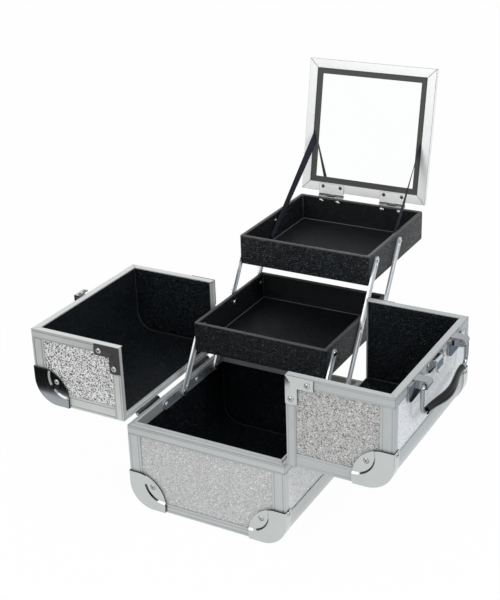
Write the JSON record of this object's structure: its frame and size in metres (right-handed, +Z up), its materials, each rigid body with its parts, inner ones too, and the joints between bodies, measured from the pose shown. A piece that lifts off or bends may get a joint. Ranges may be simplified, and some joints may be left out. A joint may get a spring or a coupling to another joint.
{
  "type": "makeup train case",
  "caption": "Aluminium-edged makeup train case with side-opening lids, cantilever trays on folding arms, a strap-held tilting mirror and a carrying handle.",
  "frame": {"origin": "middle of the underside of the base, on the surface it stands on", "axes": "+X to the right when facing the front, +Y to the back, +Z up"},
  "size_m": [0.4792, 0.4611, 0.423],
  "materials": {
    "glitter_board": "silver glitter laminate on hardboard",
    "lining": "black textured lining",
    "chrome": "bright nickel plate",
    "grip": "smooth dark grip",
    "aluminium": "satin anodised",
    "leatherette": "black pebble-grain leatherette",
    "mirror_glass": "silvered glass",
    "mirror_board": "matt dark grey",
    "ribbon": "dark slate woven ribbon",
    "zinc_steel": "zinc-plated steel"
  },
  "bodies": {
    "base": {"base_end_panels": "glitter_board", "base_side_panels": "glitter_board", "base_bottom_panel": "glitter_board", "base_curved_edges": "aluminium", "base_top_rim": "aluminium", "base_edge_strips": "aluminium", "base_lining": "lining", "base_corner_protectors": "chrome", "base_corner_screws": "chrome", "base_hinge_leaves": "zinc_steel", "lid_hinge_pins": "zinc_steel", "tray_brackets": "zinc_steel", "bracket_rivets": "zinc_steel"},
    "left_lid": {"left_lid_end_panels": "glitter_board", "left_lid_side_panel": "glitter_board", "left_lid_top_panel": "glitter_board", "left_lid_curved_edge": "aluminium", "left_lid_mouth_rim": "aluminium", "left_lid_seam_rim": "aluminium", "left_lid_edge_strips": "aluminium", "left_lid_lining": "lining", "left_lid_corner_protectors": "chrome", "left_lid_seam_brackets": "chrome", "left_lid_fasteners": "chrome", "left_lid_hinge_leaves": "zinc_steel", "latch_keeper": "chrome"},
    "right_lid": {"right_lid_end_panels": "glitter_board", "right_lid_side_panel": "glitter_board", "right_lid_top_panel": "glitter_board", "right_lid_curved_edge": "aluminium", "right_lid_mouth_rim": "aluminium", "right_lid_seam_rim": "aluminium", "right_lid_edge_strips": "aluminium", "right_lid_lining": "lining", "right_lid_corner_protectors": "chrome", "right_lid_seam_brackets": "chrome", "right_lid_fasteners": "chrome", "right_lid_hinge_leaves": "zinc_steel", "handle_plates": "chrome", "latch_body": "chrome"},
    "front_arms": {"front_arms": "zinc_steel"},
    "long_arms": {"long_arms": "zinc_steel"},
    "rear_arms": {"rear_arms": "zinc_steel"},
    "lower_tray": {"lower_tray": "leatherette", "lower_tray_rivets": "zinc_steel"},
    "upper_tray": {"upper_tray": "leatherette", "upper_tray_rivets": "zinc_steel", "tray_hinge_leaves": "zinc_steel", "mirror_hinge_pins": "zinc_steel"},
    "mirror": {"mirror_frame": "aluminium", "mirror_border": "mirror_board", "mirror_glass": "mirror_glass", "mirror_backing": "mirror_board", "mirror_hinge_leaves": "zinc_steel", "mirror_straps": "ribbon"},
    "handle": {"handle_bail": "chrome", "handle_grip": "grip"},
    "latch_lever": {"latch_lever": "chrome"}
  },
  "joints": [
    {"name": "left_lid_hinge", "type": "hinge", "parent": "base", "child": "left_lid", "pos_m": [-0.103, 0, 0.104], "axis": [0, 1, 0], "range_deg": [0, 10]},
    {"name": "right_lid_hinge", "type": "hinge", "parent": "base", "child": "right_lid", "pos_m": [0.103, 0, 0.104], "axis": [0, -1, 0], "range_deg": [0, 10]},
    {"name": "tray_fold", "type": "hinge", "parent": "base", "child": "long_arms", "pos_m": [0, 0.073, 0.098], "axis": [1, 0, 0], "range_deg": [0, 94.1]},
    {"name": "front_arm_turn", "type": "hinge", "parent": "base", "child": "front_arms", "pos_m": [0, -0.001, 0.098], "axis": [1, 0, 0], "range_deg": [0, 94.1]},
    {"name": "lower_tray_level", "type": "hinge", "parent": "long_arms", "child": "lower_tray", "pos_m": [0, 0.11706, 0.16716], "axis": [1, 0, 0], "range_deg": [-94.1, 0]},
    {"name": "upper_tray_level", "type": "hinge", "parent": "long_arms", "child": "upper_tray", "pos_m": [0, 0.16112, 0.23632], "axis": [1, 0, 0], "range_deg": [-94.1, 0]},
    {"name": "rear_arm_turn", "type": "hinge", "parent": "lower_tray", "child": "rear_arms", "pos_m": [0, 0.18606, 0.16716], "axis": [1, 0, 0], "range_deg": [0, 94.1]},
    {"name": "mirror_tilt", "type": "hinge", "parent": "upper_tray", "child": "mirror", "pos_m": [0, 0.31385, 0.24882], "axis": [1, 0, 0], "range_deg": [0, 100.5], "deforming": ["mirror_straps"]},
    {"name": "handle_swing", "type": "hinge", "parent": "right_lid", "child": "handle", "pos_m": [0.2365, 0, 0.2095], "axis": [0, -1, 0], "range_deg": [0, 110]},
    {"name": "latch_lift", "type": "hinge", "parent": "right_lid", "child": "latch_lever", "pos_m": [0.2286, 0, 0.2101], "axis": [0, -1, 0], "range_deg": [0, 75]}
  ],
  "couplings": [
    {"joint": "front_arm_turn", "follows": "tray_fold", "ratio": 1},
    {"joint": "lower_tray_level", "follows": "tray_fold", "ratio": -1},
    {"joint": "upper_tray_level", "follows": "tray_fold", "ratio": -1},
    {"joint": "rear_arm_turn", "follows": "tray_fold", "ratio": 1}
  ]
}
